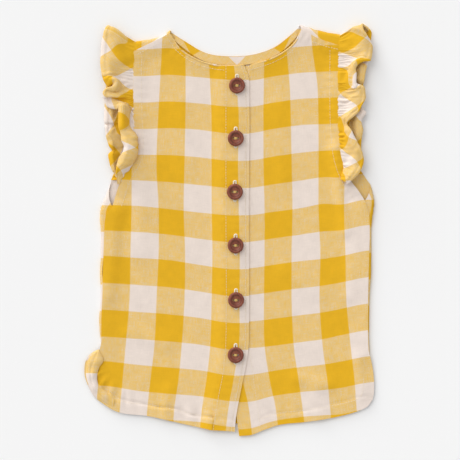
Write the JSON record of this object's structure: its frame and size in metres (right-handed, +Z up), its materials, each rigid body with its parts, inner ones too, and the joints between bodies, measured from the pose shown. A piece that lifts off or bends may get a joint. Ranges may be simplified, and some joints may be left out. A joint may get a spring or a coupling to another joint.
{
  "type": "sleeveless child's blouse, laid flat",
  "caption": "Small sleeveless blouse in yellow and white gingham, buttoned down the front, with gathered ruffles at the armholes, laid flat.",
  "frame": {"origin": "centre of the bounding box in plan, on the surface that the blouse lies on", "axes": "+Z up out of the blouse's front, +Y towards the neck, +X to the right as seen from above"},
  "size_m": [0.2701, 0.383, 0.016],
  "materials": {
    "gingham": "soft slubbed cotton and linen cloth in yellow and white checks",
    "facing": "the same checked cloth cut on the bias",
    "button": "turned brown coconut shell with a worn satin face"
  },
  "bodies": {
    "root": {"back": "gingham", "neck_facing_back": "facing", "front_under": "gingham", "front_over": "gingham", "placket_under": "gingham", "placket_over": "gingham", "ruffle_left": "gingham", "ruffle_right": "gingham", "button_1": "button", "button_2": "button", "button_3": "button", "button_4": "button", "button_5": "button", "button_6": "button"}
  },
  "joints": []
}
